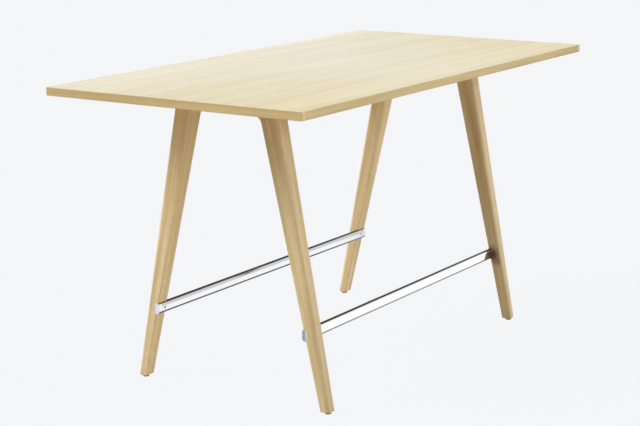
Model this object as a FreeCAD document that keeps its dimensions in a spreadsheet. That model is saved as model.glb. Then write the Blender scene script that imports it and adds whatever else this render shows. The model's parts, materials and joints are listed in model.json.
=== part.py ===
import FreeCAD, Part
import os
import re
import Sketcher

# A standing meeting table: a veneered top on two A-shaped wooden trestles, two steel beams
# hidden under the top, two oval foot rails let into the legs, and a levelling glide in each foot.
# Millimetres. The origin is on the floor under the middle of the top, X runs along the top's
# length, Y across it and Z up. Left is -X, right +X, front -Y and rear +Y.

SIZES = {
    # the top
    "table_height": 1058.0,
    "top_length": 2000.0,
    "top_width": 1000.0,
    "top_thick": 28.0,
    "top_corner": 2.0,
    "top_arris": 1.2,
    "veneer_thick": 0.6,
    "lipping_thick": 16.0,
    # the trestles: from the top's end to the middle of a trestle, across the outsides of both legs
    # where they meet the top, and from the top's side to the outside of a foot
    "trestle_inset": 334.5,
    "head_spread": 394.0,
    "foot_inset": 103.5,
    "leg_head_thick": 70.5,
    "leg_foot_thick": 34.0,
    "leg_head_width": 69.0,
    "leg_foot_width": 45.0,
    "leg_outer_round": 15.0,
    "leg_inner_round": 3.0,
    "foot_round": 1.5,
    "crossbar_depth": 57.0,
    "knuckle_round": 30.0,
    "knuckle_flat": 10.8,
    # the dowels between each leg and its crossbar
    "dowel_dia": 12.0,
    "dowel_length": 50.0,
    "dowel_pitch_x": 32.0,
    "dowel_pitch_z": 24.0,
    "glue_gap": 0.1,
    "hole_spare": 1.0,
    # the beams under the top
    "beam_width": 30.0,
    "beam_height": 30.0,
    "beam_wall": 2.0,
    "beam_shoulder": 12.0,
    "beam_overhang": 40.0,
    "beam_gap": 0.3,
    "plug_head": 3.0,
    "plug_depth": 12.0,
    "plug_gap": 0.2,
    # M8 bolts from the crossbars into nuts welded in the beams
    "bolt_dia": 8.0,
    "bolt_head_dia": 13.0,
    "bolt_head": 8.0,
    "bolt_key": 6.0,
    "bolt_key_depth": 4.0,
    "bolt_tail": 5.0,
    "bolt_sink": 1.4,
    "washer_dia": 20.0,
    "washer_thick": 1.6,
    "nut_width": 13.0,
    "nut_height": 6.5,
    "screw_gap": 0.3,
    "thread_gap": 0.05,
    # M6 screws from the beams into inserts in the top
    "top_screw_inset": 95.0,
    "top_screw_dia": 6.0,
    "top_screw_head_dia": 11.0,
    "top_screw_head": 4.0,
    "top_screw_key": 4.0,
    "top_screw_grip": 12.0,
    "top_insert_dia": 10.0,
    "top_insert_length": 14.0,
    # the foot rails
    "rail_level": 261.5,
    "rail_high": 41.0,
    "rail_deep": 20.0,
    "rail_wall": 1.5,
    "rail_let_in": 10.4,
    "rail_proud": 0.5,
    "rail_gap": 0.3,
    "cap_head": 18.0,
    "cap_round": 1.5,
    "cap_plug": 7.0,
    "cap_gap": 0.2,
    "rail_screw_shift": 7.5,
    "rail_screw_dia": 6.0,
    "rail_screw_head_dia": 10.0,
    "rail_screw_head": 3.0,
    "rail_screw_key": 4.0,
    "rail_screw_grip": 12.0,
    "rail_insert_dia": 10.0,
    "rail_insert_length": 15.0,
    "spacer_dia": 13.0,
    # the levelling glides
    "glide_dia": 22.0,
    "glide_round": 0.8,
    "glide_floor": 2.5,
    "glide_lip": 1.1,
    "glide_catch": 1.5,
    "foot_clear": 0.3,
    "spin_gap": 0.05,
    "stud_dia": 8.0,
    "stud_length": 30.0,
    "stud_head_dia": 15.0,
    "stud_head": 4.0,
    "stud_key": 5.0,
    "stud_key_depth": 5.0,
    "stud_tip": 1.0,
    "glide_insert_dia": 12.0,
    "glide_insert_length": 20.0,
}

# Heights and places that several pieces share, as expressions of those sizes.
HEAD_Z = "(table_height - top_thick)"
FOOT_Z = "(glide_floor + stud_head + 2 * spin_gap + glide_lip + foot_clear)"
UNDER_Z = f"({HEAD_Z} - crossbar_depth)"
LEG_DROP = f"({HEAD_Z} - {FOOT_Z})"
HEAD_INNER_Y = "(head_spread / 2 - leg_head_thick)"
FOOT_OUTER_Y = "(top_width / 2 - foot_inset)"
FOOT_INNER_Y = f"({FOOT_OUTER_Y} - leg_foot_thick)"
INNER_SLOPE = f"(({FOOT_INNER_Y} - {HEAD_INNER_Y}) / {LEG_DROP})"
SIDE_SLOPE = f"((leg_head_width - leg_foot_width) / {LEG_DROP})"
BEND_Y = f"({HEAD_INNER_Y} + crossbar_depth * {INNER_SLOPE})"
KNUCKLE_REACH = f"(knuckle_round * (sqrt(1 + {INNER_SLOPE}^2) - {INNER_SLOPE}))"
KNUCKLE_Y = f"({BEND_Y} - {KNUCKLE_REACH} - knuckle_flat)"
TRESTLE_X = "(top_length / 2 - trestle_inset)"
RAIL_Y = (f"({HEAD_INNER_Y} + ({HEAD_Z} - rail_level) * {INNER_SLOPE}"
          " + rail_let_in - rail_deep / 2)")
RAIL_SEAT_Y = f"({RAIL_Y} + rail_deep / 2 + rail_gap)"
RAIL_SCREW_X = f"({TRESTLE_X} - rail_screw_shift)"
RAIL_HALF = (f"({TRESTLE_X} + leg_head_width / 2 - ({HEAD_Z} - rail_level) * {SIDE_SLOPE} / 2"
             " + rail_proud - cap_head)")
BEAM_HALF = f"({TRESTLE_X} + leg_head_width / 2 + beam_overhang)"
BEAM_Y = (f"({KNUCKLE_Y} - dowel_length / 2 - hole_spare - beam_shoulder - beam_gap"
          " - beam_width / 2)")
BEAM_UNDER_Z = f"({HEAD_Z} - beam_height)"
BOLT_SEAT_Z = f"({UNDER_Z} + bolt_head + washer_thick + bolt_sink)"
GLIDE_Y = f"({FOOT_OUTER_Y} - leg_foot_thick / 2)"
STUD_Z = "(glide_floor + spin_gap)"

doc = FreeCAD.newDocument("standing_meeting_table")
sheet = doc.addObject("Spreadsheet::Sheet", "dims")
for row, (alias, size) in enumerate(SIZES.items(), 1):
    sheet.set(f"A{row}", alias)
    sheet.set(f"B{row}", str(size))
    sheet.setAlias(f"B{row}", alias)
doc.recompute()


def bound(text):
    """The expression with each size's name pointing at its cell in the sheet."""
    return re.sub(r"[a-z_]\w*", lambda found: f"dims.{found[0]}" if found[0] in SIZES else found[0], text)


def number(text):
    return float(sheet.evalExpression(bound(text)))


def bind(thing, setting, text):
    thing.setExpression(setting, bound(text))


# ---- outlines in a sketch, every point held at its two distances from the sketch's origin

def hold(sketch, geometry, point, x, y):
    for kind, text in (("DistanceX", x), ("DistanceY", y)):
        index = sketch.addConstraint(Sketcher.Constraint(kind, -1, 1, geometry, point, number(text)))
        bind(sketch, f"Constraints[{index}]", text)


def hold_radius(sketch, geometry, radius):
    index = sketch.addConstraint(Sketcher.Constraint("Radius", geometry, number(radius)))
    bind(sketch, f"Constraints[{index}]", radius)


def polygon(sketch, corners):
    points = [FreeCAD.Vector(number(x), number(y), 0) for x, y in corners]
    first = sketch.GeometryCount
    for here, there in zip(points, points[1:] + points[:1]):
        sketch.addGeometry(Part.LineSegment(here, there))
    for place, (x, y) in enumerate(corners):
        following = first + (place + 1) % len(corners)
        sketch.addConstraint(Sketcher.Constraint("Coincident", first + place, 2, following, 1))
        hold(sketch, first + place, 1, x, y)


def rectangle(sketch, x, y, wide, high):
    left, right = f"{x} - {wide} / 2", f"{x} + {wide} / 2"
    low, top = f"{y} - {high} / 2", f"{y} + {high} / 2"
    polygon(sketch, [(left, low), (right, low), (right, top), (left, top)])


def hexagon(sketch, x, y, across):
    """A hexagon by its width across flats."""
    out, half = f"{across} / sqrt(3)", f"{across} / sqrt(12)"
    polygon(sketch, [(f"{x} + {out}", y), (f"{x} + {half}", f"{y} + {across} / 2"),
                     (f"{x} - {half}", f"{y} + {across} / 2"), (f"{x} - {out}", y),
                     (f"{x} - {half}", f"{y} - {across} / 2"), (f"{x} + {half}", f"{y} - {across} / 2")])


def circle(sketch, x, y, radius):
    centre = FreeCAD.Vector(number(x), number(y), 0)
    index = sketch.addGeometry(Part.Circle(centre, FreeCAD.Vector(0, 0, 1), number(radius)))
    hold(sketch, index, 3, x, y)
    hold_radius(sketch, index, radius)


def circles(sketch, centres, *radii):
    """One circle of each radius at each centre."""
    for x, y in centres:
        for radius in radii:
            circle(sketch, x, y, radius)


def flat_oval(sketch, wide, high):
    """Two upright sides joined by half circles at the top and bottom, about the sketch's origin."""
    radius, rise = number(wide) / 2, (number(high) - number(wide)) / 2
    up, across = FreeCAD.Vector(0, rise, 0), FreeCAD.Vector(radius, 0, 0)
    first = sketch.GeometryCount
    for here, there in (((up + across), (up - across)), ((-up - across), (-up + across))):
        middle = (here + there) / 2
        crown = middle + FreeCAD.Vector(0, radius if middle.y > 0 else -radius, 0)
        sketch.addGeometry(Part.Arc(here, crown, there))
    sketch.addGeometry(Part.LineSegment(up - across, -up - across))
    sketch.addGeometry(Part.LineSegment(-up + across, up + across))
    for arc, end, line, start in ((0, 2, 2, 1), (2, 2, 1, 1), (1, 2, 3, 1), (3, 2, 0, 1)):
        sketch.addConstraint(Sketcher.Constraint("Tangent", first + arc, end, first + line, start))
    for arc, sign in ((0, "+"), (1, "-")):
        hold(sketch, first + arc, 3, "0", f"{sign}(({high}) - ({wide})) / 2")
        hold_radius(sketch, first + arc, f"({wide}) / 2")


# ---- features of a body

PLANES = {"X": ("YZ_Plane", 1), "Y": ("XZ_Plane", -1), "Z": ("XY_Plane", 1)}


def new_body(label):
    body = doc.addObject("PartDesign::Body", label)
    body.Label = label
    return body


def prism(body, name, axis, low, high, draw, cut=False):
    """Pads (or cuts away) the outline that draw makes, from low to high along the body's axis."""
    role, sense = PLANES[axis]
    sketch = body.newObject("Sketcher::SketchObject", f"{name}_outline")
    plane = next(feature for feature in body.Origin.OriginFeatures if feature.Role == role)
    sketch.AttachmentSupport = (plane, [""])
    sketch.MapMode = "FlatFace"
    bind(sketch, "AttachmentOffset.Base.z", f"{sense} * ({low})")
    draw(sketch)
    feature = body.newObject("PartDesign::Pocket" if cut else "PartDesign::Pad", name)
    feature.Profile = sketch
    feature.Reversed = cut == (sense > 0)
    bind(feature, "Length", f"({high}) - ({low})")
    return feature


def dress(body, kind, name, size, wanted):
    """Rounds (Fillet) or bevels (Chamfer) the edges of the body so far that wanted() picks."""
    doc.recompute()
    base = body.Tip
    edges = [f"Edge{place}" for place, edge in enumerate(base.Shape.Edges, 1) if wanted(edge)]
    feature = body.newObject(f"PartDesign::{kind}", name)
    feature.Base = (base, edges)
    bind(feature, "Radius" if kind == "Fillet" else "Size", size)
    return feature


def ends(edge):
    return [vertex.Point for vertex in edge.Vertexes]


def all_near(edge, distance):
    """Whether every end of the edge has distance() of nothing."""
    return all(abs(distance(point)) < 0.01 for point in ends(edge))


def place(body, x="0", y="0", z="0", half_turn=False):
    """Puts a body there, turned half round about Z first where asked."""
    turn = FreeCAD.Rotation(FreeCAD.Vector(0, 0, 1), 180 if half_turn else 0)
    body.Placement = FreeCAD.Placement(FreeCAD.Vector(0, 0, 0), turn)
    for axis, text in (("x", x), ("y", y), ("z", z)):
        bind(body, f"Placement.Base.{axis}", text)


def opposite(text):
    return f"-({text})"


ENDS = {"left": -1, "right": 1}
SIDES = {"front": -1, "rear": 1}
CORNERS = [(end, side) for end in ENDS for side in SIDES]
BEAM_SCREW_X = [f"{step} / 3 * ({TRESTLE_X} - top_screw_inset)" for step in (-3, -1, 1, 3)]
TOP_SCREW_CENTRES = [(x, f"{sign} * {BEAM_Y}") for x in BEAM_SCREW_X for sign in (-1, 1)]
BOLT_CENTRES = [(f"{x_sign} * {TRESTLE_X}", f"{y_sign} * {BEAM_Y}")
                for x_sign in (-1, 1) for y_sign in (-1, 1)]

parts = []


# ---- the top

def slice_of(slab, tool, label):
    piece = doc.addObject("Part::Common", label)
    piece.Base = slab
    piece.Tool = tool
    parts.append(piece)


def layer(label, slab, length, width, x, y, low, high):
    """The slice of the slab inside a box centred on x, y between two heights."""
    box = doc.addObject("Part::Box", f"{label}_box")
    bind(box, "Length", length)
    bind(box, "Width", width)
    bind(box, "Height", f"({high}) - ({low})")
    bind(box, "Placement.Base.x", f"{x} - ({length}) / 2")
    bind(box, "Placement.Base.y", f"{y} - ({width}) / 2")
    bind(box, "Placement.Base.z", low)
    slice_of(slab, box, label)


def drilled_sheet(label, length, width, low, high, depth):
    """A sheet with holes from below for the threaded inserts."""
    body = new_body(label)
    prism(body, f"{label}_blank", "Z", low, high,
          lambda sketch: rectangle(sketch, "0", "0", length, width))
    prism(body, f"{label}_holes", "Z", low, depth,
          lambda sketch: circles(sketch, TOP_SCREW_CENTRES, "top_insert_dia / 2 + glue_gap"), cut=True)
    return body


def build_top():
    """The slab is shaped whole, with its corners and arrises, and then parted into its layers."""
    slab = new_body("slab")
    prism(slab, "slab_block", "Z", HEAD_Z, "table_height",
          lambda sketch: rectangle(sketch, "0", "0", "top_length", "top_width"))
    dress(slab, "Fillet", "slab_corners", "top_corner",
          lambda edge: abs(ends(edge)[0].z - ends(edge)[1].z) > 1)
    dress(slab, "Chamfer", "slab_arris", "top_arris",
          lambda edge: abs(ends(edge)[0].z - ends(edge)[1].z) < 0.01)
    low, high = f"({HEAD_Z} + veneer_thick)", "(table_height - veneer_thick)"
    inner_length, inner_width = "(top_length - 2 * lipping_thick)", "(top_width - 2 * lipping_thick)"
    insert_end = f"{HEAD_Z} + top_insert_length + hole_spare"
    parts.append(drilled_sheet("tabletop_core", inner_length, inner_width, low, high, insert_end))
    underside = drilled_sheet("underside_sheet", "top_length", "top_width", HEAD_Z, low, low)
    slice_of(slab, underside, "underside_veneer")
    layer("top_veneer", slab, "top_length", "top_width", "0", "0", high, "table_height")
    for end, sign in ENDS.items():
        layer(f"edge_lipping_{end}", slab, "lipping_thick", "top_width",
              f"{sign} * (top_length - lipping_thick) / 2", "0", low, high)
    for side, sign in SIDES.items():
        layer(f"edge_lipping_{side}", slab, inner_length, "lipping_thick",
              "0", f"{sign} * (top_width - lipping_thick) / 2", low, high)


# ---- the trestles

def dowel_centres(base_x="0"):
    """The dowels' centres in X and Z, two across and two up the joint."""
    middle = f"({HEAD_Z} - crossbar_depth / 2)"
    return [(f"{base_x} + {across} * dowel_pitch_x / 2", f"{middle} + {up} * dowel_pitch_z / 2")
            for across in (-1, 1) for up in (-1, 1)]


def taper_cuts(sketch):
    """The wood outside both tapered sides, in X and Z."""
    for sign in ("-", "+"):
        polygon(sketch, [(f"{sign}leg_head_width / 2", HEAD_Z), (f"{sign}leg_head_width", HEAD_Z),
                         (f"{sign}leg_head_width", FOOT_Z), (f"{sign}leg_foot_width / 2", FOOT_Z)])


def build_leg(end, side):
    """A leg with its knuckle, built on the rear side about x = 0 and turned round for the front."""
    label = f"leg_{end}_{side}"
    body = new_body(label)
    profile = [(KNUCKLE_Y, HEAD_Z), ("head_spread / 2", HEAD_Z), (FOOT_OUTER_Y, FOOT_Z),
               (FOOT_INNER_Y, FOOT_Z), (BEND_Y, UNDER_Z), (KNUCKLE_Y, UNDER_Z)]
    prism(body, f"{label}_blank", "X", "-leg_head_width / 2", "leg_head_width / 2",
          lambda sketch: polygon(sketch, profile))
    prism(body, f"{label}_taper", "Y", "0", FOOT_OUTER_Y, taper_cuts, cut=True)
    bend, under = number(BEND_Y), number(UNDER_Z)
    dress(body, "Fillet", f"{label}_knuckle", "knuckle_round",
          lambda edge: all_near(edge, lambda point: abs(point.y - bend) + abs(point.z - under)))
    head, foot = number(HEAD_Z), number(FOOT_Z)
    outer_slope = (number(FOOT_OUTER_Y) - number("head_spread") / 2) / (head - foot)
    inner_slope = number(INNER_SLOPE)

    def tall(edge):
        return abs(ends(edge)[0].z - ends(edge)[1].z) > (head - foot) / 2

    def outside(point):
        return point.y - number("head_spread") / 2 - (head - point.z) * outer_slope

    def inside(point):
        return point.y - number(HEAD_INNER_Y) - (head - point.z) * inner_slope

    dress(body, "Fillet", f"{label}_outer_round", "leg_outer_round",
          lambda edge: tall(edge) and all_near(edge, outside))
    dress(body, "Fillet", f"{label}_inner_round", "leg_inner_round",
          lambda edge: tall(edge) and all_near(edge, inside))
    dress(body, "Fillet", f"{label}_foot_round", "foot_round",
          lambda edge: all_near(edge, lambda point: point.z - foot))
    notch = prism(body, f"{label}_rail_notch", "X", "-leg_head_width", "leg_head_width",
                  lambda sketch: flat_oval(sketch, "rail_deep + 2 * rail_gap", "rail_high + 2 * rail_gap"),
                  cut=True)
    bind(notch.Profile[0], "AttachmentOffset.Base.x", RAIL_Y)
    bind(notch.Profile[0], "AttachmentOffset.Base.y", "rail_level")
    inward = "-" if (end == "right") == (side == "rear") else "+"
    prism(body, f"{label}_rail_insert_hole", "Y", RAIL_SEAT_Y,
          f"{RAIL_SEAT_Y} + rail_insert_length + hole_spare",
          lambda sketch: circle(sketch, f"{inward}rail_screw_shift", "rail_level",
                                "rail_insert_dia / 2 + glue_gap"), cut=True)
    prism(body, f"{label}_dowel_holes", "Y", KNUCKLE_Y, f"{KNUCKLE_Y} + dowel_length / 2 + hole_spare",
          lambda sketch: circles(sketch, dowel_centres(), "dowel_dia / 2 + glue_gap"), cut=True)
    prism(body, f"{label}_glide_hole", "Z", FOOT_Z, f"{FOOT_Z} + glide_insert_length",
          lambda sketch: circle(sketch, "0", GLIDE_Y, "glide_insert_dia / 2 + glue_gap"), cut=True)
    prism(body, f"{label}_stud_hole", "Z", FOOT_Z, f"{STUD_Z} + stud_head + stud_length + hole_spare",
          lambda sketch: circle(sketch, "0", GLIDE_Y, "stud_dia / 2 + screw_gap"), cut=True)
    place(body, x=f"{ENDS[end]} * {TRESTLE_X}", half_turn=side == "front")
    parts.append(body)


def build_crossbar(end):
    """The head piece between two legs, notched for the beams and bored for their bolts."""
    label = f"crossbar_{end}"
    body = new_body(label)
    low_half = f"(leg_head_width / 2 - crossbar_depth * {SIDE_SLOPE} / 2)"
    section = [("-leg_head_width / 2", HEAD_Z), (f"-{low_half}", UNDER_Z),
               (low_half, UNDER_Z), ("leg_head_width / 2", HEAD_Z)]
    prism(body, f"{label}_bar", "Y", opposite(KNUCKLE_Y), KNUCKLE_Y,
          lambda sketch: polygon(sketch, section))
    under = number(UNDER_Z)
    dress(body, "Fillet", f"{label}_round", "leg_inner_round",
          lambda edge: all_near(edge, lambda point: point.z - under)
          and abs(ends(edge)[0].y - ends(edge)[1].y) > 1)
    for side, sign in SIDES.items():
        prism(body, f"{label}_notch_{side}", "Z", BEAM_UNDER_Z, HEAD_Z,
              lambda sketch: rectangle(sketch, "0", f"{sign} * {BEAM_Y}", "2 * leg_head_width",
                                       "(beam_width + 2 * beam_gap)"), cut=True)
        face = opposite(KNUCKLE_Y) if sign < 0 else KNUCKLE_Y
        deep = f"{face} - {sign} * (dowel_length / 2 + hole_spare)"
        low, high = (face, deep) if sign < 0 else (deep, face)
        prism(body, f"{label}_dowel_holes_{side}", "Y", low, high,
              lambda sketch: circles(sketch, dowel_centres(), "dowel_dia / 2 + glue_gap"), cut=True)
    bolts = [("0", f"{sign} * {BEAM_Y}") for sign in (-1, 1)]
    prism(body, f"{label}_bolt_holes", "Z", UNDER_Z, HEAD_Z,
          lambda sketch: circles(sketch, bolts, "bolt_dia / 2 + screw_gap"), cut=True)
    prism(body, f"{label}_bolt_seats", "Z", UNDER_Z, BOLT_SEAT_Z,
          lambda sketch: circles(sketch, bolts, "washer_dia / 2 + hole_spare"), cut=True)
    place(body, x=f"{ENDS[end]} * {TRESTLE_X}")
    parts.append(body)


def build_dowels():
    body = new_body("knuckle_dowels")
    for end, x_sign in ENDS.items():
        for side, y_sign in SIDES.items():
            middle = f"({y_sign} * {KNUCKLE_Y})"
            prism(body, f"dowels_{end}_{side}", "Y", f"{middle} - dowel_length / 2",
                  f"{middle} + dowel_length / 2",
                  lambda sketch: circles(sketch, dowel_centres(f"{x_sign} * {TRESTLE_X}"),
                                         "dowel_dia / 2"))
    parts.append(body)


# ---- the beams under the top and what holds them

def build_beam(side):
    """A rectangular tube along X with holes for its bolts and for the screws into the top."""
    label = f"beam_{side}"
    body = new_body(label)

    def section(sketch):
        middle = f"({HEAD_Z} - beam_height / 2)"
        rectangle(sketch, "0", middle, "beam_width", "beam_height")
        rectangle(sketch, "0", middle, "(beam_width - 2 * beam_wall)", "(beam_height - 2 * beam_wall)")

    prism(body, f"{label}_tube", "X", opposite(BEAM_HALF), BEAM_HALF, section)
    screws = [(x, "0") for x in BEAM_SCREW_X]
    bolts = [(f"{sign} * {TRESTLE_X}", "0") for sign in (-1, 1)]
    prism(body, f"{label}_screw_holes", "Z", f"{HEAD_Z} - beam_wall", HEAD_Z,
          lambda sketch: circles(sketch, screws, "top_screw_dia / 2 + screw_gap"), cut=True)
    prism(body, f"{label}_access_holes", "Z", BEAM_UNDER_Z, f"{BEAM_UNDER_Z} + beam_wall",
          lambda sketch: circles(sketch, screws, "top_screw_head_dia / 2 + hole_spare"), cut=True)
    prism(body, f"{label}_bolt_holes", "Z", BEAM_UNDER_Z, f"{BEAM_UNDER_Z} + beam_wall",
          lambda sketch: circles(sketch, bolts, "bolt_dia / 2 + screw_gap"), cut=True)
    place(body, y=f"{SIDES[side]} * {BEAM_Y}")
    parts.append(body)


def build_beam_plug(end, side):
    """A plug in a beam's right end, turned round for the left end."""
    label = f"beam_plug_{end}_{side}"
    body = new_body(label)
    middle = f"({HEAD_Z} - beam_height / 2)"
    inside = "- 2 * beam_wall - 2 * plug_gap)"
    prism(body, f"{label}_head", "X", "0", "plug_head",
          lambda sketch: rectangle(sketch, "0", middle, "beam_width", "beam_height"))
    prism(body, f"{label}_shank", "X", "-plug_depth", "0",
          lambda sketch: rectangle(sketch, "0", middle, f"(beam_width {inside}", f"(beam_height {inside}"))
    place(body, x=f"{ENDS[end]} * {BEAM_HALF}", y=f"{SIDES[side]} * {BEAM_Y}",
          half_turn=end == "left")
    parts.append(body)


def hexagons(sketch, centres, across):
    for x, y in centres:
        hexagon(sketch, x, y, across)


def build_beam_bolts():
    nut_low = f"({BEAM_UNDER_Z} + beam_wall)"
    head_high = f"({BOLT_SEAT_Z} - washer_thick)"
    head_low = f"({head_high} - bolt_head)"
    bolts = new_body("beam_bolts")
    prism(bolts, "bolt_heads", "Z", head_low, head_high,
          lambda sketch: circles(sketch, BOLT_CENTRES, "bolt_head_dia / 2"))
    prism(bolts, "bolt_shanks", "Z", head_high, f"{nut_low} + nut_height + bolt_tail",
          lambda sketch: circles(sketch, BOLT_CENTRES, "bolt_dia / 2"))
    prism(bolts, "bolt_keys", "Z", head_low, f"{head_low} + bolt_key_depth",
          lambda sketch: hexagons(sketch, BOLT_CENTRES, "bolt_key"), cut=True)
    washers = new_body("beam_washers")
    prism(washers, "washer_rings", "Z", head_high, BOLT_SEAT_Z,
          lambda sketch: circles(sketch, BOLT_CENTRES, "washer_dia / 2", "bolt_dia / 2 + screw_gap"))
    nuts = new_body("beam_nuts")
    prism(nuts, "nut_blocks", "Z", nut_low, f"{nut_low} + nut_height",
          lambda sketch: hexagons(sketch, BOLT_CENTRES, "nut_width"))
    prism(nuts, "nut_bores", "Z", nut_low, f"{nut_low} + nut_height",
          lambda sketch: circles(sketch, BOLT_CENTRES, "bolt_dia / 2 + thread_gap"), cut=True)
    parts.extend([bolts, washers, nuts])


def build_top_screws():
    seat = f"({HEAD_Z} - beam_wall)"
    screws = new_body("top_screws")
    prism(screws, "top_screw_heads", "Z", f"{seat} - top_screw_head", seat,
          lambda sketch: circles(sketch, TOP_SCREW_CENTRES, "top_screw_head_dia / 2"))
    prism(screws, "top_screw_shanks", "Z", seat, f"{HEAD_Z} + top_screw_grip",
          lambda sketch: circles(sketch, TOP_SCREW_CENTRES, "top_screw_dia / 2"))
    prism(screws, "top_screw_keys", "Z", f"{seat} - top_screw_head", f"{seat} - top_screw_head / 2",
          lambda sketch: hexagons(sketch, TOP_SCREW_CENTRES, "top_screw_key"), cut=True)
    inserts = new_body("top_inserts")
    prism(inserts, "top_insert_sleeves", "Z", HEAD_Z, f"{HEAD_Z} + top_insert_length",
          lambda sketch: circles(sketch, TOP_SCREW_CENTRES, "top_insert_dia / 2",
                                 "top_screw_dia / 2 + thread_gap"))
    parts.extend([screws, inserts])


# ---- the foot rails and what holds them

def build_rail(side):
    """A flat-oval tube along X, drilled at both trestles; turned half round for the front."""
    label = f"foot_rail_{side}"
    body = new_body(label)

    def section(sketch):
        flat_oval(sketch, "rail_deep", "rail_high")
        flat_oval(sketch, "rail_deep - 2 * rail_wall", "rail_high - 2 * rail_wall")

    prism(body, f"{label}_tube", "X", opposite(RAIL_HALF), RAIL_HALF, section)
    screws = [(f"{sign} * {RAIL_SCREW_X}", "0") for sign in (-1, 1)]
    prism(body, f"{label}_head_holes", "Y", "-rail_deep / 2", "-rail_deep / 2 + rail_wall",
          lambda sketch: circles(sketch, screws, "rail_screw_head_dia / 2 + screw_gap"), cut=True)
    prism(body, f"{label}_shank_holes", "Y", "rail_deep / 2 - rail_wall", "rail_deep / 2",
          lambda sketch: circles(sketch, screws, "rail_screw_dia / 2 + screw_gap"), cut=True)
    place(body, y=f"{SIDES[side]} * {RAIL_Y}", z="rail_level", half_turn=side == "front")
    parts.append(body)


def build_rail_cap(end, side):
    """A cap in a rail's right end, turned round for the left end."""
    label = f"rail_cap_{end}_{side}"
    body = new_body(label)
    inside = "- 2 * rail_wall - 2 * cap_gap"
    prism(body, f"{label}_head", "X", "0", "cap_head",
          lambda sketch: flat_oval(sketch, "rail_deep", "rail_high"))
    face = number("cap_head")
    dress(body, "Fillet", f"{label}_rim", "cap_round",
          lambda edge: all_near(edge, lambda point: point.x - face))
    prism(body, f"{label}_shank", "X", "-cap_plug", "0",
          lambda sketch: flat_oval(sketch, f"rail_deep {inside}", f"rail_high {inside}"))
    place(body, x=f"{ENDS[end]} * {RAIL_HALF}", y=f"{SIDES[side]} * {RAIL_Y}", z="rail_level",
          half_turn=end == "left")
    parts.append(body)


def both_sides(body, name, low, high, draw, cut=False):
    """A prism along Y on the rear side and its mirror image on the front side."""
    prism(body, f"{name}_rear", "Y", low, high, draw, cut)
    prism(body, f"{name}_front", "Y", opposite(high), opposite(low), draw, cut)


def build_rail_screws():
    """Low-headed screws flush with the rails' inner faces, their sleeves and their inserts."""
    centres = [(f"{sign} * {RAIL_SCREW_X}", "rail_level") for sign in (-1, 1)]
    face = f"({RAIL_Y} - rail_deep / 2)"
    seat = f"({face} + rail_screw_head)"
    screws = new_body("rail_screws")
    both_sides(screws, "rail_screw_heads", face, seat,
               lambda sketch: circles(sketch, centres, "rail_screw_head_dia / 2"))
    both_sides(screws, "rail_screw_shanks", seat, f"{RAIL_SEAT_Y} + rail_screw_grip",
               lambda sketch: circles(sketch, centres, "rail_screw_dia / 2"))
    both_sides(screws, "rail_screw_keys", face, f"{face} + rail_screw_head / 2",
               lambda sketch: hexagons(sketch, centres, "rail_screw_key"), cut=True)
    spacers = new_body("rail_spacers")
    both_sides(spacers, "rail_spacer_tubes", seat, f"{RAIL_Y} + rail_deep / 2 - rail_wall",
               lambda sketch: circles(sketch, centres, "spacer_dia / 2", "rail_screw_dia / 2 + screw_gap"))
    inserts = new_body("rail_inserts")
    both_sides(inserts, "rail_insert_sleeves", RAIL_SEAT_Y, f"{RAIL_SEAT_Y} + rail_insert_length",
               lambda sketch: circles(sketch, centres, "rail_insert_dia / 2",
                                      "rail_screw_dia / 2 + thread_gap"))
    parts.extend([screws, spacers, inserts])


# ---- the levelling glides

def build_glide(end, side):
    """A threaded insert in the foot, the stud in it and the nylon cap that the stud turns in."""
    place_x, place_y = f"{ENDS[end]} * {TRESTLE_X}", f"{SIDES[side]} * {GLIDE_Y}"
    insert = new_body(f"glide_insert_{end}_{side}")
    prism(insert, f"{insert.Name}_sleeve", "Z", FOOT_Z, f"{FOOT_Z} + glide_insert_length",
          lambda sketch: circles(sketch, [("0", "0")], "glide_insert_dia / 2", "stud_dia / 2 + thread_gap"))
    stud = new_body(f"glide_stud_{end}_{side}")
    prism(stud, f"{stud.Name}_head", "Z", STUD_Z, f"{STUD_Z} + stud_head",
          lambda sketch: circle(sketch, "0", "0", "stud_head_dia / 2"))
    prism(stud, f"{stud.Name}_shank", "Z", f"{STUD_Z} + stud_head", f"{STUD_Z} + stud_head + stud_length",
          lambda sketch: circle(sketch, "0", "0", "stud_dia / 2"))
    tip = number(f"{STUD_Z} + stud_head + stud_length")
    dress(stud, "Chamfer", f"{stud.Name}_tip", "stud_tip",
          lambda edge: all_near(edge, lambda point: point.z - tip))
    prism(stud, f"{stud.Name}_key", "Z", STUD_Z, f"{STUD_Z} + stud_key_depth",
          lambda sketch: hexagon(sketch, "0", "0", "stud_key"), cut=True)
    cap = new_body(f"glide_cap_{end}_{side}")
    recess_top = f"({STUD_Z} + stud_head + spin_gap)"
    prism(cap, f"{cap.Name}_disc", "Z", "0", f"{recess_top} + glide_lip",
          lambda sketch: circle(sketch, "0", "0", "glide_dia / 2"))
    dress(cap, "Fillet", f"{cap.Name}_rim", "glide_round",
          lambda edge: all_near(edge, lambda point: point.z))
    prism(cap, f"{cap.Name}_recess", "Z", "glide_floor", recess_top,
          lambda sketch: circle(sketch, "0", "0", "stud_head_dia / 2 + spin_gap"), cut=True)
    prism(cap, f"{cap.Name}_mouth", "Z", recess_top, f"{recess_top} + glide_lip",
          lambda sketch: circle(sketch, "0", "0", "stud_head_dia / 2 - glide_catch"), cut=True)
    prism(cap, f"{cap.Name}_key_hole", "Z", "0", "glide_floor",
          lambda sketch: circle(sketch, "0", "0", "stud_key / 2 + hole_spare"), cut=True)
    for body in (insert, stud, cap):
        place(body, x=place_x, y=place_y)
        parts.append(body)


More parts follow.
